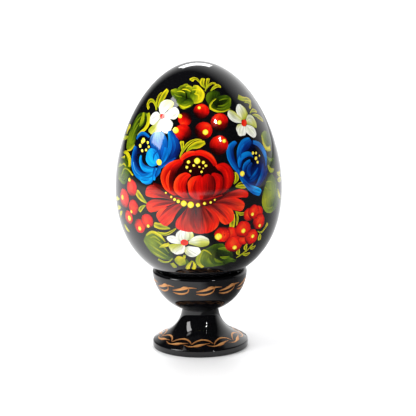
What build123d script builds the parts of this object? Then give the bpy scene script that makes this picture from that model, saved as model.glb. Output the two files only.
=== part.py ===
"""A lacquered wooden Easter egg standing in its turned wooden cup.

Two turned pieces make the whole object. The egg is solid wood, pointed end up, and lies loose in the
cup: it lifts straight out. The stand is one turning, with a hollowed cup at the top, a narrow waist
and a flared foot. The frame has +Z up, its origin at the centre of the foot's underside, and the
painted front facing -Y. All sizes are in millimetres.
"""
from build123d import *
from math import asin, cos, degrees, pi, radians, sin, sqrt
import os

# Driving dimensions: the whole object and the egg.
total_height = 87.0
egg_diameter = 50.0
egg_length = 66.3
egg_widest_drop = 5.1
egg_profile_spans = 14

# Driving dimensions: the cup, from its rim down to where it meets the waist.
cup_radius = 14.3
cup_rim_z = 24.0
cup_base_z = 11.8
rim_round = 0.8
seat_depth = 0.9
seat_gap = 0.22
hollow_floor_z = 15.0
hollow_floor_radius = 5.0
hollow_floor_round = 2.5
hollow_wall_bow = 13.8

# Driving dimensions: the waist, the flare below it and the foot.
waist_radius = 5.6
flare_width = 11.2
flare_drop = 9.3
flare_angle = 50.0
foot_radius = 14.4
foot_edge_height = 2.0
foot_round = 0.6
foot_base_round = 0.35

egg_middle_z = total_height - egg_length / 2


def egg_radius(z):
    """Radius of the egg at height z, by the Hügelschäffer egg curve with its blunt end down."""
    h = z - egg_middle_z
    above = egg_length**2 - 4 * h**2
    below = egg_length**2 + 8 * egg_widest_drop * h + 4 * egg_widest_drop**2
    return egg_diameter / 2 * sqrt(max(above, 0.0) / below)


def egg_profile_point(step):
    """Point on the egg's profile, in equal turns from the blunt pole to the pointed one."""
    turn = -pi / 2 + pi * step / egg_profile_spans
    z = egg_middle_z + egg_length / 2 * sin(turn)
    return (egg_radius(z), z)


# The egg: solid turned wood. Its profile leaves both poles square to the axis.
with BuildPart() as egg:
    with BuildSketch(Plane.XZ):
        with BuildLine():
            outline = Spline([egg_profile_point(step) for step in range(egg_profile_spans + 1)],
                             tangents=[(1, 0), (-1, 0)], tangent_scalars=[1, 1])
            Line(outline @ 1, outline @ 0)
        make_face()
    revolve(axis=Axis.Z)
egg.part.label = "egg"

# The stand's outside: a quarter ellipse for the cup and part of another for the flare.
cup_curve_drop = (cup_rim_z - cup_base_z) / sqrt(1 - (waist_radius / cup_radius) ** 2)
cup_curve_sweep = degrees(asin((cup_rim_z - cup_base_z) / cup_curve_drop))
flare_end = (waist_radius + flare_width * (1 - cos(radians(flare_angle))),
             cup_base_z - flare_drop * sin(radians(flare_angle)))

# The cup's inside: a narrow bevelled seat that the egg rests on, and a hollow below it.
seat_foot_z = cup_rim_z - seat_depth
seat_top = (egg_radius(cup_rim_z) + seat_gap, cup_rim_z)
seat_foot = (egg_radius(seat_foot_z) + seat_gap, seat_foot_z)
hollow_foot = (hollow_floor_radius + hollow_floor_round, hollow_floor_z)

with BuildPart() as stand:
    with BuildSketch(Plane.XZ) as stand_profile:
        with BuildLine():
            Polyline((0, 0), (foot_radius, 0), (foot_radius, foot_edge_height), flare_end)
            EllipticalCenterArc(center=(waist_radius + flare_width, cup_base_z), x_radius=flare_width,
                                y_radius=flare_drop, start_angle=180, arc_size=flare_angle)
            EllipticalCenterArc(center=(0, cup_rim_z), x_radius=cup_radius, y_radius=cup_curve_drop,
                                start_angle=-cup_curve_sweep, arc_size=cup_curve_sweep)
            Polyline((cup_radius, cup_rim_z), seat_top, seat_foot)
            RadiusArc(seat_foot, hollow_foot, hollow_wall_bow)
            Polyline(hollow_foot, (0, hollow_floor_z), (0, 0))
        make_face()
        for corner, corner_round in (((foot_radius, 0), foot_base_round),
                                     ((foot_radius, foot_edge_height), foot_round),
                                     ((cup_radius, cup_rim_z), rim_round),
                                     (hollow_foot, hollow_floor_round)):
            fillet(stand_profile.vertices().sort_by_distance(corner)[0], radius=corner_round)
    revolve(axis=Axis.Z)
stand.part.label = "stand"

os.makedirs("parts", exist_ok=True)
for piece in (egg, stand):
    export_step(piece.part, f"parts/{piece.part.label}.step")
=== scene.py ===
"""A black lacquered wooden Easter egg, painted with flowers, in its turned wooden egg-cup stand.

The sections follow the order of making: the stand is turned and lacquered and its two bronze scroll
bands are brushed on, then the egg is turned, lacquered, painted and set in the cup. Sizes are in
millimetres until a mesh is made, and in metres from there on. Only the texts that list brush strokes
and dots count in tenths of a millimetre.
"""
import bpy
from math import atan2, cos, degrees, pi, radians, sin, sqrt
from mathutils import Matrix, Vector


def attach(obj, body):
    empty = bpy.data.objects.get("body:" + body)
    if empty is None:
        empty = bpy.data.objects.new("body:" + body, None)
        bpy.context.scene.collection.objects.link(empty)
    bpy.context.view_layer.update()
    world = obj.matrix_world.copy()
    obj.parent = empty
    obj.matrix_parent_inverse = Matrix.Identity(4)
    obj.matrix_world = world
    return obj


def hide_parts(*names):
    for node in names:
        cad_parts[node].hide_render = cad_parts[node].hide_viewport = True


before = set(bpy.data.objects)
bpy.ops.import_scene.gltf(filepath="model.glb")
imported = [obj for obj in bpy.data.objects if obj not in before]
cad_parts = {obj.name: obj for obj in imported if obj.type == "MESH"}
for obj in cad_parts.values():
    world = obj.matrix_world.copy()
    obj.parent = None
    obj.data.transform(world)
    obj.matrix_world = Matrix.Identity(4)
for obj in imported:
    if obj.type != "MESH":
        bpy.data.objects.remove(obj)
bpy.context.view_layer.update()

# ---------------------------------------------------------------- stand
# One piece of lime wood turned between centres: a hollowed cup with a bevelled seat for the egg, a
# narrow waist and a flared foot. It is painted black and dipped in clear lacquer.
MM = 0.001
cup_radius, cup_rim, cup_depth, cup_start, rim_round = 14.3, 24.0, 13.26, 4, 0.8
seat_top, hollow_floor = (12.8, 24.0), 15.0
floor_round, floor_round_at = 2.5, (6.34, 17.5)
wall_bow, wall_bow_at, wall_foot, wall_top = 13.8, (-2.65, 24.34), -37.2, -5.2
waist_radius, waist_top, flare_width, flare_drop, flare_turn = 5.6, 11.8, 11.2, 9.3, 50
foot_radius, foot_edge, foot_round, base_round = 14.4, 2.0, 0.6, 0.35
stand_steps_round = 160


def linear(hex_colour):
    """Linear RGBA of an sRGB hex colour such as "#e81a10"."""
    parts = [int(hex_colour[i:i + 2], 16) / 255 for i in (1, 3, 5)]
    return [p / 12.92 if p <= 0.04045 else ((p + 0.055) / 1.055) ** 2.4 for p in parts] + [1.0]


def feed(tree, node, inputs):
    """Links each input from a socket or from a node's first output, or sets it to a value."""
    for key, value in inputs.items():
        if isinstance(value, bpy.types.Node):
            value = value.outputs[0]
        if isinstance(value, bpy.types.NodeSocket):
            tree.links.new(value, node.inputs[key])
        else:
            node.inputs[key].default_value = value


def add(tree, kind, inputs=None, **settings):
    """Adds a node to a tree with its settings and inputs."""
    made = tree.nodes.new(kind)
    for name, value in settings.items():
        setattr(made, name, value)
    feed(tree, made, inputs or {})
    return made


def arc(centre, radii, start, end, steps):
    """Points along an elliptic arc, its angles in degrees."""
    turns = [radians(start + (end - start) * i / steps) for i in range(steps + 1)]
    return [(centre[0] + radii[0] * cos(t), centre[1] + radii[1] * sin(t)) for t in turns]


def placed(name, data):
    """A new object with this data, in the scene."""
    made = bpy.data.objects.new(name, data)
    bpy.context.collection.objects.link(made)
    return made


def outline(name, points):
    """An open curve in the XZ plane through (radius, height) points in millimetres."""
    curve = bpy.data.curves.new(name, "CURVE")
    curve.dimensions = "3D"
    spline = curve.splines.new("POLY")
    spline.points.add(len(points) - 1)
    for point, (radius, height) in zip(spline.points, points):
        point.co = (radius * MM, 0, height * MM, 1)
    return placed(name, curve)


def new_tree(name, inputs):
    """An empty Geometry Nodes tree with these named inputs, its given values and its end node."""
    tree = bpy.data.node_groups.new(name, "GeometryNodeTree")
    tree.interface.new_socket("Geometry", in_out="INPUT", socket_type="NodeSocketGeometry")
    for label, kind in inputs:
        tree.interface.new_socket(label, in_out="INPUT", socket_type="NodeSocket" + kind)
    tree.interface.new_socket("Geometry", in_out="OUTPUT", socket_type="NodeSocketGeometry")
    return tree, add(tree, "NodeGroupInput").outputs, add(tree, "NodeGroupOutput")


def made_by(tree, name, mesh, values, material):
    """A plain mesh piece: the tree is run on the mesh with these input values, then taken off."""
    source = placed(name + "_source", mesh)
    modifier = source.modifiers.new("Nodes", "NODES")
    modifier.node_group = tree
    values = dict(values, Material=material)
    for socket in tree.interface.items_tree:
        if socket.in_out == "INPUT" and socket.name in values:
            modifier[socket.identifier] = values[socket.name]
    depsgraph = bpy.context.evaluated_depsgraph_get()
    result = bpy.data.meshes.new_from_object(source.evaluated_get(depsgraph), depsgraph=depsgraph)
    bpy.data.objects.remove(source)
    result.name = name
    return placed(name, result)


def finish_tree(tree, geometry, material, end, crease):
    """Ends a tree: its faces are smooth, the edges that bend by more than the crease's degrees are crisp,
    and everything is made real and given its material."""
    bend = add(tree, "GeometryNodeInputMeshEdgeAngle").outputs["Unsigned Angle"]
    crisp = add(tree, "FunctionNodeCompare", {0: bend, 1: radians(crease)}, operation="GREATER_THAN")
    soft = add(tree, "GeometryNodeSetShadeSmooth", {"Geometry": geometry, "Shade Smooth": True})
    edged = add(tree, "GeometryNodeSetShadeSmooth",
                {"Geometry": soft, "Selection": crisp, "Shade Smooth": False}, domain="EDGE")
    real = add(tree, "GeometryNodeRealizeInstances", {"Geometry": edged})
    finished = add(tree, "GeometryNodeSetMaterial", {"Geometry": real, "Material": material})
    feed(tree, end, {"Geometry": finished})


# Turning: every point of the outline goes round the axis, and the seam and poles are welded.
weld = 0.001 * MM
turning, given, end = new_tree("Turned Wood", [("Outline", "Object"), ("Steps Round", "Int"),
                                               ("Material", "Material")])
profile = add(turning, "GeometryNodeObjectInfo", {"Object": given["Outline"]}).outputs["Geometry"]
counts = add(turning, "GeometryNodeAttributeDomainSize", {"Geometry": profile}, component="CURVE")
columns = add(turning, "ShaderNodeMath", {0: given["Steps Round"], 1: 1.0}, operation="ADD")
grid = add(turning, "GeometryNodeMeshGrid", {"Vertices X": counts.outputs["Point Count"],
                                             "Vertices Y": columns})
index = add(turning, "GeometryNodeInputIndex")
share = add(turning, "ShaderNodeMath", {0: index, 1: columns}, operation="DIVIDE")
row = add(turning, "ShaderNodeMath", {0: share}, operation="FLOOR")
column = add(turning, "ShaderNodeMath", {0: index, 1: columns}, operation="MODULO")
angle = add(turning, "ShaderNodeMath", {0: column, 1: 2 * pi}, operation="MULTIPLY")
angle = add(turning, "ShaderNodeMath", {0: angle, 1: given["Steps Round"]}, operation="DIVIDE")
place = add(turning, "GeometryNodeInputPosition")
on_profile = add(turning, "GeometryNodeSampleIndex", {"Geometry": profile, "Value": place, "Index": row},
                 data_type="FLOAT_VECTOR", domain="POINT")
swung = add(turning, "ShaderNodeVectorRotate", {"Vector": on_profile, "Angle": angle},
            rotation_type="Z_AXIS")
turned = add(turning, "GeometryNodeSetPosition", {"Geometry": grid.outputs["Mesh"], "Position": swung})
welded = add(turning, "GeometryNodeMergeByDistance", {"Geometry": turned, "Distance": weld})
finish_tree(turning, welded, given["Material"], end, crease=25)


def new_material(name):
    """A new material, with its node tree and its shader."""
    material = bpy.data.materials.new(name)
    material.use_nodes = True
    return material, material.node_tree, material.node_tree.nodes["Principled BSDF"]


def lacquered_wood(name, ripple):
    """Black paint under dipped clear lacquer: near black, very glossy, with the soft ripple that
    thick lacquer dries with and a faint mottle of dust and handling in its gloss."""
    mottle_size, wave_size = 9 * MM, 6 * MM
    clean, dusty = 0.035, 0.075
    material, tree, shader = new_material(name)
    where = add(tree, "ShaderNodeTexCoord").outputs["Object"]
    mottle = add(tree, "ShaderNodeTexNoise", {"Vector": where, "Scale": 1 / mottle_size, "Detail": 4.0})
    black = add(tree, "ShaderNodeMix", {0: mottle, 6: linear("#050506"), 7: linear("#0c0c0f")},
                data_type="RGBA")
    gloss = add(tree, "ShaderNodeMapRange", {0: mottle, 1: 0.3, 2: 0.7, 3: clean, 4: dusty})
    waves = add(tree, "ShaderNodeTexNoise", {"Vector": where, "Scale": 1 / wave_size, "Detail": 1.0})
    bump = add(tree, "ShaderNodeBump", {"Height": waves, "Distance": ripple * MM, "Strength": 1.0})
    feed(tree, shader, {"Base Color": black.outputs[2], "Roughness": gloss, "Normal": bump, "IOR": 1.5})
    return material


flare_end = (waist_radius + flare_width * (1 - cos(radians(flare_turn))),
             waist_top - flare_drop * sin(radians(flare_turn)))
foot_slope = degrees(atan2(flare_end[1] - foot_edge, foot_radius - flare_end[0]))
half_turn = radians(90 - foot_slope) / 2
foot_round_z = foot_edge - foot_round * sin(half_turn) / cos(half_turn)
cup_end = degrees(atan2((cup_rim - waist_top) / cup_depth, waist_radius / cup_radius))
outside = (arc((cup_radius - rim_round, cup_rim - rim_round), (rim_round, rim_round), 90, 0, 8)
           + arc((0, cup_rim), (cup_radius, cup_depth), -cup_start, -cup_end, 48)
           + arc((waist_radius + flare_width, waist_top), (flare_width, flare_drop),
                 180, 180 + flare_turn, 28)[1:]
           + arc((foot_radius - foot_round, foot_round_z), (foot_round, foot_round),
                 90 - foot_slope, 0, 6)
           + arc((foot_radius - base_round, base_round), (base_round, base_round), 0, -90, 5))
hollow = ([(0, hollow_floor)] + arc(floor_round_at, (floor_round, floor_round), -90, wall_foot, 6)
          + arc(wall_bow_at, (wall_bow, wall_bow), wall_foot, wall_top, 12)[1:])
stand_outline = outline("stand_outline", hollow + [seat_top] + outside + [(0, 0)])
stand_outside = outline("stand_outside", outside)
lacquer = lacquered_wood("black lacquered lime wood", 0.012)
no_mesh = bpy.data.meshes.new("nothing")
stand = made_by(turning, "stand_turned", no_mesh,
                {"Outline": stand_outline, "Steps Round": stand_steps_round}, lacquer)
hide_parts("stand")
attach(stand, "stand")

# ---------------------------------------------------------------- cup scroll
# A band of bronze scrolls round the cup, brushed freehand with metallic paint before the last coat of
# lacquer: each is a long leaf stroke that runs into the next, a short leaf on it and a loop below.
# The light bronze along the middle of each stroke is a painted highlight, the sheen of the metallic paint.
bronzes = dict(d="#7a4820", b="#b8743a", l="#e4a868")
# The mesh's cells; how far a film lies over the one below it, the first over the lacquer, and how deep
# its underside is tucked into the lacquer.
cell, layer_step, first_layer, tucked = 0.5, 0.004, 0.015, 0.03
thinnest_line = 0.12


def through(points, share):
    """The place at a share of the way along a smooth curve through a few points."""
    spans = [max((Vector(b) - Vector(a)).length, 1e-6) for a, b in zip(points, points[1:])]
    slopes = [(Vector(b) - Vector(a)) / span for a, b, span in zip(points, points[1:], spans)]
    inner = [(slopes[i] * spans[i + 1] + slopes[i + 1] * spans[i]) / (spans[i] + spans[i + 1])
             for i in range(len(slopes) - 1)]
    ends = (inner[0], inner[-1]) if inner else (slopes[0], slopes[0])
    bends = [1.5 * slopes[0] - 0.5 * ends[0]] + inner + [1.5 * slopes[-1] - 0.5 * ends[1]]
    along, i = share * sum(spans), 0
    while i < len(spans) - 1 and along > spans[i]:
        along -= spans[i]
        i += 1
    t, span = along / spans[i], spans[i]
    return ((2 * t ** 3 - 3 * t ** 2 + 1) * Vector(points[i]) + (t ** 3 - 2 * t ** 2 + t) * span * bends[i]
            + (3 * t ** 2 - 2 * t ** 3) * Vector(points[i + 1]) + (t ** 3 - t ** 2) * span * bends[i + 1])


def charted(chart, u, v):
    """The colour at u from heel to tip and v from left to right in a chart of colour rows."""
    def mixed(row, share):
        place = share * (len(row) - 1)
        i = max(min(int(place), len(row) - 2), 0)
        return [a + (b - a) * (place - i) for a, b in zip(row[i], row[min(i + 1, len(row) - 1)])]
    return mixed([mixed(row, v) for row in chart], u)


def tenths(numbers):
    """The millimetres that a text of numbers gives in tenths."""
    return [float(number) / 10 for number in numbers.split()]


class Brushwork:
    """Strokes laid flat, in millimetres to the right and down the surface. Each is a thin closed film
    that lies on every film already dried under it."""
    def __init__(self, paints, dried):
        self.points, self.faces, self.colours, self.grain = [], [], [], []
        self.paints, self.dried = {letter: linear(value) for letter, value in paints.items()}, dried

    def height(self, parts):
        """How high a film lies that covers these groups of places."""
        boxes = [(min(p.x for p in part), min(p.y for p in part),
                  max(p.x for p in part), max(p.y for p in part)) for part in parts]
        under = [height for x0, y0, x1, y1, height in self.dried
                 if any(x0 < b[2] and x1 > b[0] and y0 < b[3] and y1 > b[1] for b in boxes)]
        highest = max(under, default=first_layer) + layer_step
        self.dried += [(*box, highest) for box in boxes]
        return highest

    def fill(self, left, right, chart, heel=0.0, tip=0.0, dome=0.0):
        """One stroke between its left and right edges, each given from the stroke's heel to its tip."""
        rows_of_paint = [[self.paints[letter] for letter in row] for row in chart.split()]
        middle = [(through(left, i / 4) + through(right, i / 4)) / 2 for i in range(5)]
        length = sum((b - a).length for a, b in zip(middle, middle[1:])) + heel + tip
        width = max((through(left, i / 4) - through(right, i / 4)).length for i in range(5))
        rows, columns = max(6, round(length / cell)), max(4, round(width / cell))
        ahead, behind = (middle[4] - middle[3]).normalized(), (middle[0] - middle[1]).normalized()
        first, step = len(self.points), columns + 1
        fresh_streaks = 5.3 * first
        flat = []
        for i in range(rows + 1):
            u = i / rows
            a, b = through(left, u), through(right, u)
            for j in range(step):
                v = j / columns
                swell = sqrt(max(1 - (2 * v - 1) ** 2, 0))
                flat.append(a + (b - a) * v
                            + ahead * tip * swell * u ** 4 + behind * heel * swell * (1 - u) ** 4)
                self.colours.append(charted(rows_of_paint, u, v))
                self.grain.append((u * length, v * width + fresh_streaks))
        lies = self.height([flat[k * rows // 4 * step:((k + 1) * rows // 4 + 1) * step] for k in range(4)])
        for k, place in enumerate(flat):
            across, along = 2 * (k % step) / columns - 1, 2 * (k // step) / rows - 1
            self.points.append((place.x, -place.y, lies + dome * (1 - across ** 2) * (1 - along ** 2)))
        self.points += [(place.x, -place.y, -tucked - lies) for place in flat]
        self.colours += self.colours[first:]
        self.grain += self.grain[first:]
        under, last = len(flat), rows * step
        rim = (list(range(columns)) + list(range(columns, last + columns, step))
               + list(range(last + columns, last, -1)) + list(range(last, 0, -step)))
        films = []
        for k in (i * step + j for i in range(rows) for j in range(columns)):
            films += [(k, k + 1, k + step + 1, k + step),
                      (under + k, under + k + step, under + k + step + 1, under + k + 1)]
        films += [(n, k, under + k, under + n) for k, n in zip(rim, rim[1:] + rim[:1])]
        half = rows // 2 * step + columns // 2
        a, b, c = (Vector(self.points[first + k][:2]) for k in (half, half + 1, half + step))
        turned_over = (b - a).cross(c - a) < 0
        self.faces += [tuple(first + k for k in (face[::-1] if turned_over else face)) for face in films]

    def stroke(self, path, widths, chart, tip=0.0):
        """One stroke along a path, with the brush pressed to these widths on its way."""
        count = max(2 * len(path), 6)
        places = [through(path, i / (count - 1)) for i in range(count)]
        presses = [through(list(enumerate(widths)), i / (count - 1)).y / 2 for i in range(count)]
        left, right = [], []
        for i, (place, half) in enumerate(zip(places, presses)):
            ahead = (places[min(i + 1, count - 1)] - places[max(i - 1, 0)]).normalized()
            aside = Vector((ahead.y, -ahead.x)) * max(half, thinnest_line / 2)
            left.append(place + aside)
            right.append(place - aside)
        self.fill(left, right, chart, tip=tip)

    def dab(self, x, down, radius, chart, dome=0.0, tall=1.0):
        """A round dab, with its chart read from bottom to top."""
        ring = [(radius * sin(radians(turn)), radius * tall * cos(radians(turn)))
                for turn in range(20, 161, 28)]
        cap = 0.06 * radius
        self.fill([(x - across, down + along) for across, along in ring],
                  [(x + across, down + along) for across, along in ring],
                  chart, heel=cap, tip=cap, dome=dome)

    def paint(self, strokes, chart="", lift=0.0, bud=0.0):
        """Paints strokes listed one to a line, in tenths of a millimetre. A wide one is its left edge /
        its right edge / its chart / how far its tip rounds out. A thin one has the brush's widths in
        place of its right edge, and its tip is the lift and the bud's share of its last width unless it
        is given. A line with only a path is painted with the brush of the line above."""
        brush = []
        for line in strokes.strip().splitlines():
            places, *given = line.split("/")
            brush = given or brush
            path = [tenths(place) for place in places.split(",")]
            colours = brush[1] if len(brush) > 1 else chart
            tip = tenths(brush[2])[0] if len(brush) > 2 else None
            if "," in brush[0]:
                self.fill(path, [tenths(place) for place in brush[0].split(",")], colours, tip=tip or 0.0)
                continue
            widths = tenths(brush[0])
            self.stroke(path, widths, colours, tip=lift + bud * widths[-1] if tip is None else tip)

    def laid_flat(self, name):
        """The strokes as one flat mesh in metres, with their colours and the run of the bristles."""
        mesh = bpy.data.meshes.new(name)
        mesh.from_pydata([[value * MM for value in point] for point in self.points], [], self.faces)
        mesh.attributes.new("paint", "FLOAT_COLOR", "POINT").data.foreach_set(
            "color", [value for colour in self.colours for value in colour])
        bristles = mesh.uv_layers.new(name="bristles")
        for corner in mesh.loops:
            bristles.data[corner.index].uv = self.grain[corner.vertex_index]
        return mesh


# Following a turned surface: down the sheet is down the outline, and across it is round the axis.
wrapping, given, end = new_tree("Laid On A Turned Surface", [("Outline", "Object"), ("Azimuth", "Float"),
                                                             ("Material", "Material")])
sheet_place = add(wrapping, "ShaderNodeSeparateXYZ",
                  {0: add(wrapping, "GeometryNodeInputPosition")}).outputs
down = add(wrapping, "ShaderNodeMath", {0: sheet_place["Y"], 1: -1.0}, operation="MULTIPLY")
profile = add(wrapping, "GeometryNodeObjectInfo", {"Object": given["Outline"]}).outputs["Geometry"]
there = add(wrapping, "GeometryNodeSampleCurve", {"Curves": profile, "Length": down}, mode="LENGTH",
            use_all_curves=True)
along = add(wrapping, "ShaderNodeSeparateXYZ", {0: there.outputs["Tangent"]}).outputs
inward = add(wrapping, "ShaderNodeMath", {0: along["Z"], 1: -1.0}, operation="MULTIPLY")
outward = add(wrapping, "ShaderNodeCombineXYZ", {"X": inward, "Z": along["X"]})
height = add(wrapping, "ShaderNodeCombineXYZ", {axis: sheet_place["Z"] for axis in "XYZ"})
lifted = add(wrapping, "ShaderNodeVectorMath", {0: outward, 1: height, 2: there.outputs["Position"]},
             operation="MULTIPLY_ADD")
radius = add(wrapping, "ShaderNodeSeparateXYZ", {0: there.outputs["Position"]}).outputs["X"]
across = add(wrapping, "ShaderNodeMath", {0: sheet_place["X"], 1: radius}, operation="DIVIDE")
facing = add(wrapping, "ShaderNodeMath", {0: given["Azimuth"], 1: 90.0}, operation="SUBTRACT")
facing = add(wrapping, "ShaderNodeMath", {0: facing}, operation="RADIANS")
facing = add(wrapping, "ShaderNodeMath", {0: facing, 1: across}, operation="ADD")
bent = add(wrapping, "ShaderNodeVectorRotate", {"Vector": lifted, "Angle": facing},
           rotation_type="Z_AXIS")
laid = add(wrapping, "GeometryNodeSetPosition", {"Geometry": given["Geometry"], "Position": bent})
finish_tree(wrapping, laid, given["Material"], end, crease=35)

# A band: one scroll is repeated round the axis, and each copy keeps its own azimuth as it is laid on.
banding, given, end = new_tree("Band Round The Axis", [
    ("Outline", "Object"), ("Count", "Int"), ("Sway", "Float"), ("Seed", "Int"), ("Material", "Material")])
stations = add(banding, "GeometryNodeMeshLine", {"Count": given["Count"], "Offset": (0, 0, 0)})
copies = add(banding, "GeometryNodeInstanceOnPoints", {"Points": stations, "Instance": given["Geometry"]})
number = add(banding, "GeometryNodeInputIndex")
spacing = add(banding, "ShaderNodeMath", {0: 360.0, 1: given["Count"]}, operation="DIVIDE")
low = add(banding, "ShaderNodeMath", {0: given["Sway"], 1: -1.0}, operation="MULTIPLY")
sway = add(banding, "FunctionNodeRandomValue", {2: low, 3: given["Sway"], "Seed": given["Seed"]},
           data_type="FLOAT").outputs[1]
azimuth = add(banding, "ShaderNodeMath", {0: number, 1: spacing, 2: sway}, operation="MULTIPLY_ADD")
marked = add(banding, "GeometryNodeStoreNamedAttribute", {"Geometry": copies, "Name": "azimuth",
                                                          "Value": azimuth}, domain="INSTANCE")
real = add(banding, "GeometryNodeRealizeInstances", {"Geometry": marked})
kept = add(banding, "GeometryNodeInputNamedAttribute", {"Name": "azimuth"}, data_type="FLOAT")
laid = add(banding, "GeometryNodeGroup", {"Geometry": real, "Outline": given["Outline"],
                                          "Azimuth": kept, "Material": given["Material"]},
           node_tree=wrapping)
feed(banding, end, {"Geometry": laid})


def under_lacquer(name, streak, metallic=0.0, gloss=0.045):
    """Brush paint under clear lacquer: the pigment shows the streaks that the bristles leave, about
    half a millimetre apart, and the gloss is the lacquer's."""
    streaks_along, streaks_across = 0.22, 1.9
    wave_size, wave_depth, ridge_depth = 6 * MM, 0.006 * MM, 0.004 * MM
    material, tree, shader = new_material(name)
    pigment = add(tree, "ShaderNodeVertexColor", layer_name="paint").outputs["Color"]
    run = add(tree, "ShaderNodeUVMap", uv_map="bristles")
    drawn = add(tree, "ShaderNodeVectorMath", {0: run, 1: (streaks_along, streaks_across, 1.0)},
                operation="MULTIPLY")
    hairs = add(tree, "ShaderNodeTexNoise", {"Vector": drawn, "Scale": 1.0, "Detail": 3.0, "Roughness": 0.6})
    value = add(tree, "ShaderNodeMapRange", {0: hairs, 1: 0.3, 2: 0.72, 3: 1 - streak, 4: 1 + 0.6 * streak})
    streaked = add(tree, "ShaderNodeHueSaturation", {"Value": value, "Color": pigment})
    where = add(tree, "ShaderNodeTexCoord").outputs["Object"]
    waves = add(tree, "ShaderNodeTexNoise", {"Vector": where, "Scale": 1 / wave_size, "Detail": 1.0})
    ridges = add(tree, "ShaderNodeBump", {"Height": hairs, "Distance": ridge_depth, "Strength": 1.0})
    bump = add(tree, "ShaderNodeBump", {"Height": waves, "Distance": wave_depth, "Strength": 1.0,
                                        "Normal": ridges})
    feed(tree, shader, {"Base Color": streaked, "Normal": bump, "Roughness": gloss, "Metallic": metallic})
    return material


bronze_paint = under_lacquer("bronze powder paint under lacquer", 0.2, metallic=0.35, gloss=0.3)
cup_scroll = Brushwork(bronzes, [])
cup_scroll.paint("""
-13 44,8 39.5,28 34.5,46 31,66 32 / 2 7 8 4 1.5 / db bl lb bd
14 37,29 30,44 31 / 2 5.5 2 / bl lb bd
-13 51.5,8 55,28 51,39 44,42 34 / 1.5 6 5.5 4 3 / bd lb bd""")
cup_band = made_by(banding, "cup_scroll", cup_scroll.laid_flat("cup_scroll"),
                   {"Outline": stand_outside, "Count": 12, "Sway": 1.2, "Seed": 3}, bronze_paint)
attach(cup_band, "stand")

# ---------------------------------------------------------------- foot scroll
# A second band on the slope of the foot: low arches, each over a wavy stem with one thick leaf.
foot_scroll = Brushwork(bronzes, [])
foot_scroll.paint("""
-26 278,-12 264,7 256,26 261,40 274 / 2 4.5 5.5 5 2 / bd lb bd
-50 279,-36 285,-18 284,-4 280,12 275,30 272 / 1.5 3.5 4.5 10 4 1.5 / bd lb lb bd""")
foot_band = made_by(banding, "foot_scroll", foot_scroll.laid_flat("foot_scroll"),
                    {"Outline": stand_outside, "Count": 11, "Sway": 1.5, "Seed": 8}, bronze_paint)
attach(foot_band, "stand")

# ---------------------------------------------------------------- egg
# A solid lime wood egg, turned and sanded, painted black and dipped in the same clear lacquer. Its
# outline is the egg curve: an ellipse whose widest place is moved towards the blunt end.
egg_top, egg_length, egg_width, egg_drop = 87.0, 66.3, 50.0, 5.1
egg_steps_down, egg_steps_round = 160, 192


def egg_radius(height):
    """Radius of the egg at a height, by the Hügelschäffer egg curve."""
    h = height - egg_top + egg_length / 2
    above = egg_length ** 2 - 4 * h ** 2
    below = egg_length ** 2 + 8 * egg_drop * h + 4 * egg_drop ** 2
    return egg_width / 2 * sqrt(max(above, 0.0) / below)


egg_heights = [egg_top - egg_length / 2 * (1 - cos(pi * i / egg_steps_down))
               for i in range(egg_steps_down + 1)]
egg_outline = outline("egg_outline", [(egg_radius(height), height) for height in egg_heights])
egg_lacquer = lacquered_wood("black lacquered egg", 0.006)
egg = made_by(turning, "egg_turned", no_mesh,
              {"Outline": egg_outline, "Steps Round": egg_steps_round}, egg_lacquer)
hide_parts("egg")
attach(egg, "egg")

# ---------------------------------------------------------------- leaves
# The painting starts with the leaves that ring the bouquet. Each is a few wide strokes of a brush that
# carries dark green on one side and yellow on the other, edged afterwards with thin yellow lines.
greens = dict(k="#080d02", d="#182905", g="#2f4807", m="#50690a", l="#7a8c10", y="#aead16", b="#dccb18")
tempera = under_lacquer("tempera under lacquer", 0.42)
dried = []
# The whole bouquet is painted a little lower than its sheet and is turned almost a degree about the
# peony, as a freehand painting on a round body is.
askew = (Matrix.Translation((0, -42.6 * MM, 0)) @ Matrix.Rotation(radians(0.9), 4, "Z")
         @ Matrix.Translation((0, 42.0 * MM, 0)))


def painted(name, brushwork):
    """The finished film of one group of strokes, laid on the egg and carried by it."""
    sheet = brushwork.laid_flat(name)
    sheet.transform(askew)
    piece = made_by(wrapping, name, sheet, {"Outline": egg_outline}, tempera)
    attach(piece, "egg")


leaves = Brushwork(greens, dried)
# Top left leaf: four lobes round a dark heart, and their yellow edges.
leaves.paint("""
-32 174,-52 156,-54 136,-36 123 / -14 170,-8 150,-12 132,-24 122 / kdg dgm ldmy mylb / 3
-32 176,-56 176,-72 166,-78 153 / -30 160,-46 145,-60 138,-74 143 / kdg gdm mglm lmyl / 3
-14 176,-18 160,-14 140,-8 128 / -6 188,16 182,25 158,10 129 / gly mlyb dmyb lmbb yyby / 4
-22 168,-50 170,-60 184,-48 199 / -14 172,-7 184,-16 197,-32 203 / kdk gdgm mglm lyyl / 4
-29 152,-28 172 / 3 5 / k k
-33 152,-44 147,-58 149 / 2 5 2 / yb ly
-16 148,-28 140,-42 140 / 2 5 2 / yb by
-2 158,2 146,4 136 / 2 5 2 / by yb
4 178,14 168,16 150
-10 134,-20 128,-30 132 / 2 5 2 / ly by
-49 192,-34 199,-16 192 / 2 5 2 / lb by
-12 142,6 142,12 160 / 2 5 2 / yb bb by
-6 154,7 160,4 178
-42 166,-56 164,-68 156 / 2 5 2 / ml lm
-20 180,-32 186,-46 186 / 2 5 2 / gm mg""")
# Top right leaf: dark, with a yellow rim along its lower edge.
leaves.paint("""
36 192,28 172,34 154,48 148 / 62 186,70 168,72 156,60 149 / gdk mdd mgd gdd / 2
40 200,46 182,66 169,90 167 / 54 212,78 217,102 208,109 184 / mgl dkg dkm gdm mgl / 3
59 175,45 186,39 200,54 213,79 218,103 212 / 3 6 6 5 4 3 / yl by yl
60 206,80 208,100 196 / 2 5.5 2 / ml gm
64 199,84 198,104 186
68 182,82 178,100 179""")
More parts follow.
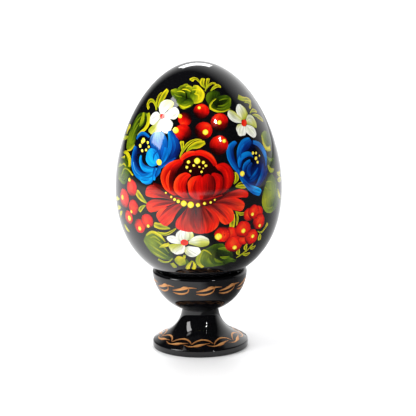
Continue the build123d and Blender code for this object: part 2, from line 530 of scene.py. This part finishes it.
# Upper left leaf: a long dark blade running down round the egg, with two yellow turns on its right.
leaves.paint("""
-172 228,-214 236,-244 268,-268 304,-269 338 / -178 260,-198 278,-212 298,-217 320,-236 344 / \
    mgm gdg mgd gmg mlm lmy / 8
-200 242,-226 266,-246 302 / 2 8 2 / lm ml lm
-206 262,-226 288,-240 318
-222 314,-240 328,-260 332
-218 326,-236 342,-260 349 / 3 6 3 / yl by
-189 229,-190 250,-202 270 / 9 17 5 / yl ly lm
-166 228,-159 246,-168 270,-192 287,-207 299 / 16 15 11 8 7 / yl by by yl
-176 236,-175 252,-188 272 / 3 6 2 / dg kd""")
# Left cluster, on the side of the egg.
leaves.paint("""
-236 372,-276 368,-314 396 / -234 420,-266 448,-306 442 / dgd gmg dgm mgl / 14
-286 360,-262 357,-242 370,-238 393 / 5 14 17 12 / yl by by lb
-302 377,-272 370 / 3 8 / yl by
-290 395,-274 390,-262 394 / 2 6 3 / ly by
-330 410,-306 398,-288 396 / 3 10 4 / lm ly
-220 415,-242 403,-270 403,-288 428 / 6 5 4 7 / by yl lm
-266 282,-285 288,-287 306 / 10 18 10 / yb by lb
-266 312,-300 319,-350 328 / 6 13 5 / ly yl yy
-304 500,-334 502,-356 510 / 4 14 8 / ly by yl
-286 534,-304 544,-312 556
-252 594,-268 588,-280 574
-296 523,-320 528,-340 536""")
# Bottom left leaf, its curled end and the small lobed leaf beside it.
leaves.paint("""
-76 672,-116 674,-158 652,-182 618 / -84 648,-104 616,-128 586,-158 584 / gdg mgd lmg mlm lml / 8
-96 646,-124 612,-152 600 / 2 7 2 / ml ly lm
-98 660,-134 638,-166 616
-106 670,-136 658,-160 640
-172 592,-146 577,-122 586,-105 606 / 5 9 10 4 / ly by by yl
-156 598,-140 592,-122 604 / 3 6 2 / yl ly
-126 628,-108 619,-92 612 / 3 12 10 / yl by yb
-134 677,-116 687,-100 684,-85 666 / 9 10 6 3 / yl yl ly
-88 688,-78 706 / 13 15 / yl ly / 4
-48 662,-66 655,-78 672,-66 696 / -46 668,-43 680,-49 693,-62 698 / byb byl lym lyl
-45 666,-39 680,-43 694 / 3 10 4 / mg gm
-46 650,-49 662 / 6 10 / ly by
-26 673,-35 692,-40 710 / 2.5 11 13 / yl by by / 4
-24 673,-18 692,-22 710 / 2.5 10 13 / ly yb by / 4""")
# Bottom right leaf: broad and dark, with a yellow turn on its left.
leaves.paint("""
12 704,-6 670,8 634,36 616 / 60 702,96 686,95 646,68 615 / gmg mgd lkd gdg mgm / 4
80 662,96 674,112 686 / 66 692,88 692,106 694 / gd mg dg
24 662,24 682,38 696 / 3 12 3 / ml lm mg
42 666,50 680,66 686
52 630,72 632,88 648
58 662,74 668,88 664
9 632,-6 656,-7 684,6 704 / 5 13 13 10 / ly yl yl by
8 630,20 636,32 651 / 3 5 2 / yb yl""")
# Right side, from top to bottom.
leaves.paint("""
266 362,240 350,225 326,226 308 / 286 344,290 326,274 310,254 303 / lmg mgg lmg mll / 3
227 310,231 334,247 354,272 357 / 5 9 12 15 / yl yb by by
242 422,239 394,248 368 / 286 420,294 396,284 369 / kdk gdg dkd / 4
242 374,259 389,284 389 / 3 10 4 / gm lm mg
244 400,255 417,280 421 / 5 14 7 / ly yl ym
252 546,222 534,207 504,214 472,236 442 / 296 536,310 506,304 474,286 448,266 432 / lmg lgm ylg mlg mgm / 5
222 460,236 469,254 477 / 2 4.5 2 / ly lm
228 447,250 449,274 462
222 518,242 528,264 528
216 490,240 500,274 502
298 482,312 502,330 518 / 7 16 8 / yl by yl
300 434,322 443,344 440
302 456,324 460,346 464""")
painted("leaves_painted", leaves)

# ---------------------------------------------------------------- sprigs
# Thin curls and buds between the flowers, drawn with the tip of a fine brush in one yellow: the brush
# is pressed for the bud and lifted along the stalk.
sprigs = Brushwork(greens, dried)
sprigs.paint("""
16 126,9 109,-3 98,-13 106 / 2.5 5 8 15
29 138,19 122,22 101 / 2 12 12
30 136,34 118,37 102 / 2 9 10
26 148,38 128,50 120,63 129 / 2.5 5 7 4
43 148,54 137,66 132,76 139 / 3 10 11 4
-129 214,-136 197,-150 188,-167 191,-173 204,-164 213 / 6 8 10 11 12 10
-130 210,-130 186,-124 168,-112 157 / 6 7 6 4
-122 206,-112 180,-100 159,-91 146 / 9 16 18 12
139 180,162 191,184 195,202 208 / 15 14 11 10
164 203,182 203,196 212,186 223 / 3 9 10 10
182 238,200 233,224 242 / 3 10 5
194 245,218 252,244 266,258 274 / 3 10 12 8
-52 349,-42 328,-20 304,-2 297,14 300 / 3 7 9 6 2.5
-33 333,-20 320,2 312,21 307 / 2 13 21 10
-45 328,-44 314,-45 303 / 3 9 13
106 433,116 418,111 400 / 3 13 4
110 442,128 443,146 446 / 2 12 8
112 440,128 432,146 436 / 2 3.5 2
104 522,99 542,96 562 / 4 17 15
109 514,115 534,111 558 / 2 6 3
112 515,126 525,143 523 / 2 10 5
189 591,206 599,222 590,236 576 / 2.5 6 6 11
199 602,200 613,199 624 / 3 15 12
-163 489,-180 479,-203 460 / 3 19 18
-168 496,-182 504,-194 516 / 2.5 12 13
-87 560,-108 557,-138 552 / 3 19 16
-129 575,-102 579,-84 570,-70 559 / 5 9 8 3
110 676,130 664,150 652,172 632 / 3 4.5 4.5 3
122 666,116 654,120 640 / 2 14 3
132 664,146 670,162 666
146 654,142 640,148 628 / 2 13 3
158 646,170 649,184 642 / 2 12 3""",
             chart="yl bly bgb byb", bud=0.15)
painted("sprigs_painted", sprigs)

# ---------------------------------------------------------------- berries
# Round berries in three clusters: each is a dab of bright red with painted shade on one side, turned from
# berry to berry, and an orange middle that is a painted highlight. The two low clusters use a lighter copy
# whose brightness is a painted reflection of the white table, with painted shade at its sides. A yellow dot
# of thick paint marks where its flower was.
reds = dict(k="#170203", m="#400405", d="#7c0908", r="#c00a07", b="#dc1c0a", o="#f04418")
berry_with_painted_shade, berry_with_painted_haze = Brushwork(reds, []), Brushwork(reds, [])
# The first dab: painted shade on its lower side and an orange painted highlight above it.
berry_with_painted_shade.dab(0, 0, 1.0, "kkkk kkmm kmdm drrr rbbr bbobr rbbr")
# The lighter dab: painted haze of the table's reflection over the red, with painted shade at its sides.
berry_with_painted_haze.dab(0, 0, 1.0, "mmddm mdrrd drbbr rbobr rbobr drbbr mdrrd")


def dab_points(name, spots):
    """Points in metres for dabs at (x, down, radius, turn); each lies on the films under it."""
    mesh = bpy.data.meshes.new(name)
    heights = [Brushwork({}, dried).height([[Vector((x - r, d - r)), Vector((x + r, d + r))]])
               for x, d, r, turn in spots]
    mesh.from_pydata([(x * MM, -d * MM, height * MM) for (x, d, r, turn), height in zip(spots, heights)],
                     [], [])
    mesh.transform(askew)
    mesh.attributes.new("radius", "FLOAT", "POINT").data.foreach_set("value", [s[2] for s in spots])
    mesh.attributes.new("turn", "FLOAT", "POINT").data.foreach_set("value", [radians(s[3]) for s in spots])
    return mesh


# Dabbing: the same dab is set at every point, at that point's size and turn, and laid on the egg.
dabbing, given, end = new_tree("Dabbed On", [("Dab", "Object"), ("Outline", "Object"),
                                             ("Material", "Material")])
dab = add(dabbing, "GeometryNodeObjectInfo", {"Object": given["Dab"]}).outputs["Geometry"]
size = add(dabbing, "GeometryNodeInputNamedAttribute", {"Name": "radius"}, data_type="FLOAT")
turn = add(dabbing, "GeometryNodeInputNamedAttribute", {"Name": "turn"}, data_type="FLOAT")
spin = add(dabbing, "ShaderNodeCombineXYZ", {"Z": turn})
stretch = add(dabbing, "ShaderNodeCombineXYZ", {"X": size, "Y": size, "Z": 1.0})
dabs = add(dabbing, "GeometryNodeInstanceOnPoints", {"Points": given["Geometry"], "Instance": dab,
                                                     "Rotation": spin, "Scale": stretch})
real = add(dabbing, "GeometryNodeRealizeInstances", {"Geometry": dabs})
laid = add(dabbing, "GeometryNodeGroup", {"Geometry": real, "Outline": given["Outline"],
                                          "Material": given["Material"]}, node_tree=wrapping)
feed(dabbing, end, {"Geometry": laid})


def dabbed(name, spots, brushwork):
    """Copies of one dab as a finished piece on the egg."""
    one = placed(name + "_dab", brushwork.laid_flat(name + "_dab"))
    piece = made_by(dabbing, name, dab_points(name, spots), {"Dab": one, "Outline": egg_outline}, tempera)
    bpy.data.objects.remove(one)
    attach(piece, "egg")


dabbed("berries_top", [(-3.5, 23.6, 2.05, 150), (-4.1, 27.6, 2.5, 60), (1.4, 21.2, 2.3, -15),
                       (1.9, 27.1, 2.6, -40), (6.7, 24.9, 2.7, 15), (6.3, 31.7, 2.85, -10)], berry_with_painted_shade)
# The two low clusters take the lighter dab, with its painted haze and painted shade.
dabbed("berries_left", [(-26.9, 49.0, 2.9, 30), (-21.9, 50.9, 2.3, 100), (-22.6, 45.2, 2.5, 40),
                        (-24.7, 54.5, 2.2, 20), (-19.6, 56.4, 2.3, -90), (-16.4, 54.4, 2.3, 60)], berry_with_painted_haze)
dabbed("berries_right", [(15.5, 53.1, 2.0, 60), (19.0, 53.0, 2.0, 10), (17.3, 52.6, 2.2, 0),
                         (19.4, 56.0, 2.5, -30), (9.2, 58.2, 2.2, 0), (6.7, 58.2, 2.5, 200),
                         (10.2, 61.9, 2.9, 30), (13.6, 60.6, 2.1, 120), (13.3, 57.4, 2.7, 20),
                         (16.4, 60.5, 2.6, -20)], berry_with_painted_haze)

# ---------------------------------------------------------------- white flowers
# Three small five-petalled flowers. Each petal is one press of a brush loaded with white and tipped
# with yellow-green; the heart is a round dab of red.
whites = dict(w="#eeeee4", c="#d9dcc2", s="#b3b898", y="#c9ca5e", g="#98a01c", r="#d8180c", o="#f04a28")
white_flowers = Brushwork(whites, dried)
for petals, heart in (("""
-112 226,-120 208,-112 188,-97 179 / -102 224,-88 210,-74 202,-67 190 / ww wwc wcy wyy / 7
-99 223,-86 213,-74 203,-62 201 / -99 232,-82 235,-68 238,-53 226 / sw ww wc ww / 6
-99 232,-80 238,-71 250,-76 266 / -108 238,-116 254,-112 270,-98 279 / sw ww ww ww / 6
-107 240,-109 258,-110 274,-122 289 / -116 242,-132 254,-146 265,-158 276 / cs wcy wyg cyg / 7
-111 236,-126 249,-137 259,-148 259 / -114 226,-124 219,-138 222,-149 232 / sc ww ww ww / 5
""", (-10.6, 23.1, 0.85)), ("""
141 251,128 233,124 216,129 206 / 157 252,170 242,164 222,147 207 / ygg wyg wcy wwc / 4
140 260,119 256,102 245,94 232 / 142 248,129 234,116 222,102 215 / cy wcy wsy wcg / 4
153 271,157 286,152 298,140 297 / 138 262,126 264,120 274,125 287 / ccg wwy wcw ww / 5
163 269,179 275,194 286,199 298 / 153 274,155 288,166 299,183 310 / wc wcw wcw www / 6
160 254,172 241,189 246,205 267 / 163 268,178 273,192 282,204 286 / cyg scg cyg yyg / 3
""", (15.1, 26.2, 1.12)), ("""
-54 600,-69 592,-70 576,-59 565 / -36 597,-20 590,-18 576,-28 564 / wcg wcg wwy www / 4
-54 609,-72 609,-88 606,-98 597 / -57 598,-66 589,-80 582,-92 584 / ss ww ww ww / 4
-33 600,-18 586,2 581,20 589 / -33 608,-16 615,4 620,20 616 / cy wcg wyg wyg / 7
-45 614,-44 630,-51 643,-65 648 / -58 610,-78 610,-95 616,-90 632 / wyg wcyg wcyg wwy / 5
-33 616,-18 619,-4 622,1 634 / -43 620,-46 639,-37 652,-25 657 / cs wwy wws www / 6
""", (-4.6, 60.4, 1.15))):
    white_flowers.paint(petals)
    white_flowers.dab(*heart, "ro rr", dome=0.03, tall=0.9)
painted("white_flowers", white_flowers)

# ---------------------------------------------------------------- blue flowers
# Two blue roses. The petals are long strokes from a brush with light blue on one side and navy on the
# other, curled round a dark heart; the light side always faces out.
blues = dict(k="#030512", n="#05103c", d="#082672", b="#0a4a9e", s="#0878c8", c="#16a4ec", i="#7cb0e4")
left_rose = Brushwork(blues, dried)
left_rose.paint("""
-204 350,-210 322,-198 302,-178 294 / -146 346,-142 320,-152 302,-174 294 / nkn kkk kkn
-106 364,-89 326,-86 298,-88 276 / -66 356,-52 334,-52 306,-73 272 / ndn sdn sbd cbd / 2
-124 354,-146 326,-150 302,-138 284 / -102 356,-90 326,-90 298,-104 278 / bdb dbb bsb iis / 3
-134 388,-178 412,-210 398,-228 366,-218 330 / -140 376,-170 388,-192 376,-202 354,-202 336 / \
    bdn sdn sbnn sdnn sbn / 3
-132 398,-168 426,-208 416,-229 386,-226 350 / -138 386,-172 408,-206 398,-219 372,-216 344 / \
    cb scb sb sb sd / 2
-130 394,-150 410,-172 415,-189 421 / -129 399,-137 418,-148 430,-164 434 / bs dcb bcs ccs / 5
-209 309,-196 295,-176 289,-153 297 / 6 11 11 6 / sb sd sb
-122 386,-150 390,-176 384,-186 368,-184 353 / 8 16 20 14 7 / scb scd csd cs
-122 374,-146 380,-164 366,-162 346 / -114 362,-118 346,-126 332,-142 328 / bsb ccs ccb ccc / 4""")
left_rose.paint("""
-92 322,-99 350,-120 376 / 13 16 8 / bs sb bd
-66 349,-90 364,-114 382 / 7 12 5 / bn bd sd
-74 290,-69 318,-84 350 / 5 10 5 / sb bd dn
-132 382,-134 400,-137 418 / 5 12 11 / bd sb cs
-114 374,-120 392,-130 408 / 6 13 6 / bd sb bd
-122 336,-134 346,-136 362 / 2 5 2 / bd sb
-152 419,-168 423,-182 422 / 2 4.5 2 / bs sb
-219 376,-210 398,-186 410 / 2 4 2 / ci sc""", lift=0.1)
painted("blue_rose_left", left_rose)

right_rose = Brushwork(blues, dried)
right_rose.paint("""
120 406,118 364,140 326,180 318 / 204 438,230 402,232 364,208 332 / ndn nkd nkk dnk
122 408,99 380,86 350,89 322,106 310 / 129 396,114 368,109 346,110 328,120 318 / bd sbn sbdn sbn sb / 4
124 390,118 358,122 330,138 310,162 306 / 136 386,140 360,150 346,164 338,176 326 / \
    dnk dbn sbdn sbdn sbn / 3
180 449,196 430,208 412,214 392 / 198 454,224 438,238 420,238 396 / bdn sdn bdd dnn / 3
122 406,130 428,148 446,172 454 / 142 402,154 418,172 432,192 434 / bdn sdn bdn dnn / 2
134 433,150 453,172 472,192 481 / 142 427,164 443,188 454,204 463 / bd sdb bsc ssc / 5
181 323,204 333,225 354,235 378,232 400 / 10 14 16 15 6 / sb sb ss bd
127 388,128 366,144 355,164 355,176 366 / 7 15 17 15 4 / sbd ssb ssb bd
140 406,146 384,164 373 / 8 15 8 / bdn sbn sb
162 418,159 398,170 382 / 10 18 9 / dbn bdn bn
160 426,180 416,194 400 / 5 11 6 / db sbd bd
150 434,174 432,196 416 / 4 9 5 / dn bd dn
119 392,132 420,154 439 / 4 7 3 / sb bd
146 322,134 336,131 360 / 3 7 3 / bs db
170 460,184 466,198 472 / 2 5 4 / sc cs""", lift=0.1)
painted("blue_rose_right", right_rose)

# ---------------------------------------------------------------- peony
# The large red flower in the middle: a skirt of open petals below, and above it a cup of closed
# petals round a dark heart. Every petal is dark where it is hidden and brightest at its rim.
skirt = Brushwork(dict(reds, v="#6a1512", p="#b02a1c"), dried)
skirt.paint("""
60 466,92 455,124 451,148 459 / 64 474,92 474,124 475,148 478 / mm dvb bpb bbr / 5
-74 462,-110 442,-136 432,-156 438 / -72 474,-110 468,-142 470,-162 468 / mmd mdp dpb pbo / 7
46 478,84 472,116 476,136 489 / 52 486,82 498,104 510,124 516 / dm pvb bpb bob / 8
-68 474,-110 474,-145 477,-162 488 / -68 482,-104 496,-128 509,-149 515 / md vpb pbo bob / 8
24 490,48 518,58 537,66 546 / 44 483,80 494,100 510,104 526 / dmd pvp bpb obo obo / 13
-52 482,-84 492,-114 500,-129 516 / -46 489,-66 512,-80 536,-96 552 / dvd bvp bpb obo obb / 11
-32 492,-52 516,-69 538,-70 554 / -20 494,-22 520,-20 546,-18 566 / dvm bvd bpv bpp bbp / 7
2 491,14 516,18 544,14 572 / 22 490,46 514,58 536,52 556 / mvd vpb vpb pbb bbo / 7
-22 494,-26 520,-28 546,-20 568 / 8 493,15 520,19 548,18 570 / mmm vkvd vdvp pvpb bpbb / 6
-64 484,-96 502,-118 526 / 2 8 2.5 / mv vd pb
-34 496,-46 520,-56 546
-14 502,-12 530,-8 560
4 502,7 530,6 562
18 498,34 522,42 544
36 490,64 512,84 536
60 482,94 490,120 500
-76 480,-114 487,-144 498
-82 469,-120 460,-148 456
76 468,108 464,136 469
-82 460,-112 439,-138 429 / 5 14 6 / km mm dm
-96 450,-46 480,0 489,46 480,90 454 / -96 446,-46 454,0 456,46 454,94 444 / mk mk dk mk mk""")
painted("peony_skirt", skirt)

bulb = Brushwork(dict(reds, e="#2a0508"), dried)
bulb.paint("""
-70 460,-74 400,-50 354,-4 338 / 74 456,84 410,54 360,4 338 / kkk kkk kek emk
-74 459,-105 436,-113 408,-96 374,-66 357,-49 354 / -56 458,-66 432,-64 406,-56 384,-48 372,-44 365 / \
    brdm ordm ordmk ordmk obrdk brrd / 4
56 460,70 436,74 414,68 396,56 386,52 380 / 78 454,100 434,107 408,96 382,76 369,54 373 / \
    mdm mdrd mrrd drrrd drrr bbbr / 3
-46 466,-72 442,-69 416,-52 397,-36 392 / -24 468,-30 448,-34 428,-29 410,-21 402 / \
    rdm obrm obrd obbr bbbb / 3
32 468,40 446,42 424,38 408,39 399 / 54 460,71 440,74 418,64 401,50 396 / mdm mrd drrm drrd rrd / 2.5
2 472,6 446,6 424,8 410,16 402 / 36 468,48 446,50 424,44 406,32 399 / dmd rdm rddm rrdm rrd / 2.5
-14 470,-32 448,-32 424,-18 406,0 402 / 12 472,13 446,12 422,11 409,9 404 / drr brrr obrr obrr brr / 2.5
-16 339,10 336,35 349,51 374 / 10 17 17 12 / br bbr obr rrd
-49 356,-33 342,-9 336 / 10 16 12 / ob obr obr
-28 459,-33 438,-32 418 / 2 5 2 / mk km
30 464,42 442,42 418 / 2 5 2 / dm md
-6 464,-12 440,-6 416 / 2 8 2 / rd dr
22 462,28 440,26 416 / 2 8 2 / dm rd
-50 454,-57 432,-48 410 / 2 7 2 / rb br
-86 444,-92 416,-82 388 / 3 9 3 / bo ob
82 442,89 416,80 389 / 3 8 3 / rb br
-68 466,0 474,68 462 / 3 6 3 / rd dm rd""", lift=0.1)
painted("peony_cup", bulb)

# ---------------------------------------------------------------- yellow dots
# The last touches: stamens, the string of beads under the peony and the berries' eyes are drops of
# thick yellow from the end of the brush, a little raised. Each is listed as its place across and down
# the sheet and its radius.
drop = Brushwork(dict(y="#f6e21a", a="#d8a812", l="#fdf06a"), [])
drop.dab(0, 0, 1.0, "aya yly ayy", dome=0.12)
dots = """
    -2 359 8.8, -27 362 5, 16 364 4.6, -12 372 3.8, -32 377 4.2, 23 374 4, 4 377 2.8, -22 388 3.4,
    10 391 3.4, 15 381 2, -97 453 3, -81 464 3.6, -71 471 4.5, -60 476 5.4, -44 482 8.8, -24 486 9.5,
    -3 487 6.2, 16 483 4.4, 34 481 3.4, 46 474 2.6, -117 366 8.8, -176 308 7.2, -181 313 6,
    -190 326 5.8, -158 313 4.4, -154 325 4, -180 339 4.6, -164 335 4.2, 134 407 7.8, 177 354 4.6,
    190 356 4, 188 371 5.4, 194 383 4.4, 204 366 3, 8 201 4.5, -49 227 6.6, -63 270 9.2, 24 276 8.2,
    66 250 6.6, 79 306 5.6, -237 430 6, -280 489 7.5, -230 524 4.8, -243 547 8.2, -196 572 6.6,
    -161 559 5.2, 54 588 10.8, 134 579 7.2, 104 632 7.2, 169 604 6.2, 167 532 5.2, 197 574 5.4"""
dabbed("yellow_dots", [(*tenths(dot), 0) for dot in dots.split(",")], drop)

# ---------------------------------------------------------------- studio
# A small product studio: a white table and a white surround that is left dark on the camera's side, a
# window-like soft box at the upper left, a wide one behind the egg and two bulbs, all out of view.
table_reach = 3


def card(name, left, right, front, back, height, material):
    """A level rectangle between these sides, in metres."""
    mesh = bpy.data.meshes.new(name)
    mesh.from_pydata([(left, front, height), (right, front, height), (right, back, height),
                      (left, back, height)], [], [(0, 1, 2, 3)])
    mesh.materials.append(material)
    return placed(name, mesh)


table, tree, shader = new_material("white table")
feed(tree, shader, {"Base Color": linear("#e9e9ea"), "Roughness": 0.7})
floor = card("floor", -table_reach, table_reach, -table_reach, table_reach, 0, table)

# The surround's light grows from the dark side to the bright one, behind the egg and to its right.
backwards, dark_side, bright_side = (0.4, 0.9, 0.15), 0.015, 1.7
world = bpy.data.worlds.new("surround")
world.use_nodes = True
bpy.context.scene.world = world
tree = world.node_tree
direction = add(tree, "ShaderNodeTexCoord").outputs["Generated"]
rearward = add(tree, "ShaderNodeVectorMath", {0: direction, 1: backwards}, operation="DOT_PRODUCT")
behind = add(tree, "ShaderNodeMapRange", {0: rearward.outputs["Value"], 1: 0.5, 2: 1.0,
                                          3: dark_side, 4: bright_side})
seen = add(tree, "ShaderNodeLightPath").outputs["Is Camera Ray"]
strength = add(tree, "ShaderNodeMix", {0: seen, 2: behind, 3: 1.0}, data_type="FLOAT")
feed(tree, tree.nodes["Background"], {"Color": linear("#fafafa"), "Strength": strength})


def soft_box(name, turn, rise, away, size, power, shape="RECTANGLE", reflected=True):
    """A soft box this far from the egg, turned this many degrees to the right of the camera's side and
    raised this many, which is seen only as light and reflection."""
    middle = Vector((0, 0, 0.055))
    lamp = placed(name, bpy.data.lights.new(name, "AREA"))
    lamp.data.shape = shape
    lamp.data.size, lamp.data.size_y = size
    lamp.data.energy = power
    lamp.location = middle + away * Vector((sin(radians(turn)) * cos(radians(rise)),
                                            -cos(radians(turn)) * cos(radians(rise)), sin(radians(rise))))
    lamp.rotation_euler = (middle - lamp.location).to_track_quat("-Z", "Y").to_euler()
    lamp.visible_camera, lamp.visible_glossy = False, reflected


soft_box("window", -70, 38, 0.9, (0.28, 0.56), 4.4)
soft_box("back", 182, 34, 1.0, (0.46, 0.26), 3.6)
soft_box("fill", -20, 24, 1.2, (0.9, 0.9), 8.5, reflected=False)
soft_box("table light", -150, 75, 1.1, (1.5, 1.5), 17.0, reflected=False)
soft_box("upper bulb", 37, 43, 0.8, (0.03, 0.03), 0.6, "DISK")
soft_box("lower bulb", 37, 30, 0.8, (0.03, 0.03), 0.6, "DISK")

# A near black sheet of painted shade fades in over the right of the table: only the lacquer sees it, and it
# stands in for the shade that lies on that side of the table, so the lower right of the egg and the bowl
# stay dark.
flag_right, flag_front, flag_back, flag_height = 0.5, -0.7, 0.4, 0.002
fade_right, fade_back, deepest = 0.016, 0.14, 0.9
# The sheet's near black and its fade are painted shade, seen only in reflections.
painted_shade_material, tree, shader = new_material("black velvet")
place = add(tree, "ShaderNodeSeparateXYZ", {0: add(tree, "ShaderNodeTexCoord").outputs["Object"]}).outputs
sideways = add(tree, "ShaderNodeMapRange", {0: place["X"], 1: 0.0, 2: fade_right, 3: 0.0, 4: deepest})
rearwards = add(tree, "ShaderNodeMapRange", {0: place["Y"], 1: 0.0, 2: fade_back, 3: 1.0, 4: 0.0})
solid = add(tree, "ShaderNodeMath", {0: sideways, 1: rearwards}, operation="MULTIPLY")
feed(tree, shader, {"Base Color": linear("#030303"), "Roughness": 1.0, "Alpha": solid})
flag = card("flag", 0.0, flag_right, flag_front, flag_back, flag_height, painted_shade_material)
flag.visible_camera = flag.visible_diffuse = flag.visible_shadow = False

# The camera looks slightly down, and is rolled by a little over half a degree, so that the egg leans to
# the left.
elevation, roll, distance = 13, -0.6, 0.7
aim = Vector((0.0027, 0, 0.0425))
camera = placed("camera", bpy.data.cameras.new("camera"))
camera.data.lens = 202
camera.data.clip_start = 0.01
camera.location = aim + distance * Vector((0, -cos(radians(elevation)), sin(radians(elevation))))
camera.rotation_euler = (Matrix.Rotation(radians(90 - elevation), 3, "X")
                         @ Matrix.Rotation(radians(roll), 3, "Z")).to_euler()
bpy.context.scene.camera = camera
bpy.context.scene.view_settings.view_transform = "Standard"

for guide in (stand_outline, stand_outside, egg_outline):
    bpy.data.objects.remove(guide)
